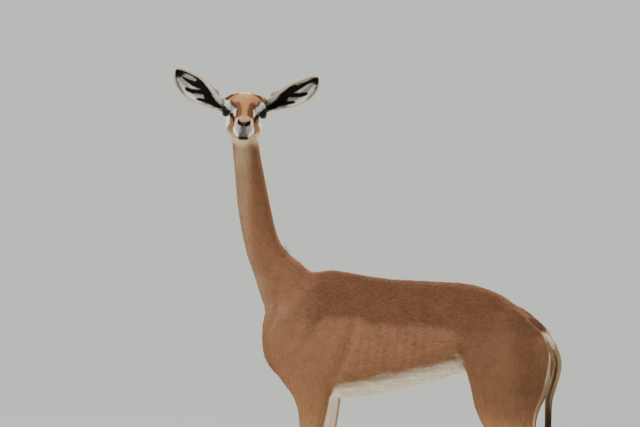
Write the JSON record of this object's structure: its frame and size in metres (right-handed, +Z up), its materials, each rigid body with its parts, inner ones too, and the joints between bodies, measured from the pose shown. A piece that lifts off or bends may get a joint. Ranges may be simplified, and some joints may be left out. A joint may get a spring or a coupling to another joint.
{
  "type": "gerenuk",
  "caption": "Life-size standing gerenuk: a hornless long-necked antelope, head turned to its left, ears spread",
  "frame": {"origin": "on the floor, under the middle of the box round the whole animal", "axes": "+Z up, +X from head to tail, +Y to the animal's right"},
  "size_m": [0.9858, 0.2908, 1.4211],
  "materials": {
    "coat": "short flat fur",
    "back": "short flat fur, darker saddle",
    "tuft": "coarse black hair",
    "horn": "worn hoof horn",
    "eye": "wet and glossy"
  },
  "bodies": {
    "root": {"barrel": "back", "chest": "coat", "ear_left": "coat", "ear_right": "coat", "eye_left": "eye", "eye_right": "eye", "foreleg_left_cannon": "coat", "foreleg_left_claw_inner": "horn", "foreleg_left_claw_outer": "horn", "foreleg_left_dewclaw_inner": "horn", "foreleg_left_dewclaw_outer": "horn", "foreleg_left_forearm": "coat", "foreleg_left_pastern": "coat", "foreleg_left_shoulder": "coat", "foreleg_right_cannon": "coat", "foreleg_right_claw_inner": "horn", "foreleg_right_claw_outer": "horn", "foreleg_right_dewclaw_inner": "horn", "foreleg_right_dewclaw_outer": "horn", "foreleg_right_forearm": "coat", "foreleg_right_pastern": "coat", "foreleg_right_shoulder": "coat", "head": "coat", "hindleg_left_cannon": "coat", "hindleg_left_claw_inner": "horn", "hindleg_left_claw_outer": "horn", "hindleg_left_dewclaw_inner": "horn", "hindleg_left_dewclaw_outer": "horn", "hindleg_left_gaskin": "coat", "hindleg_left_pastern": "coat", "hindleg_left_thigh": "coat", "hindleg_right_cannon": "coat", "hindleg_right_claw_inner": "horn", "hindleg_right_claw_outer": "horn", "hindleg_right_dewclaw_inner": "horn", "hindleg_right_dewclaw_outer": "horn", "hindleg_right_gaskin": "coat", "hindleg_right_pastern": "coat", "hindleg_right_thigh": "coat", "neck_lower": "coat", "neck_upper": "coat", "rump": "coat", "tail": "coat", "tail_tuft": "tuft"}
  },
  "joints": []
}
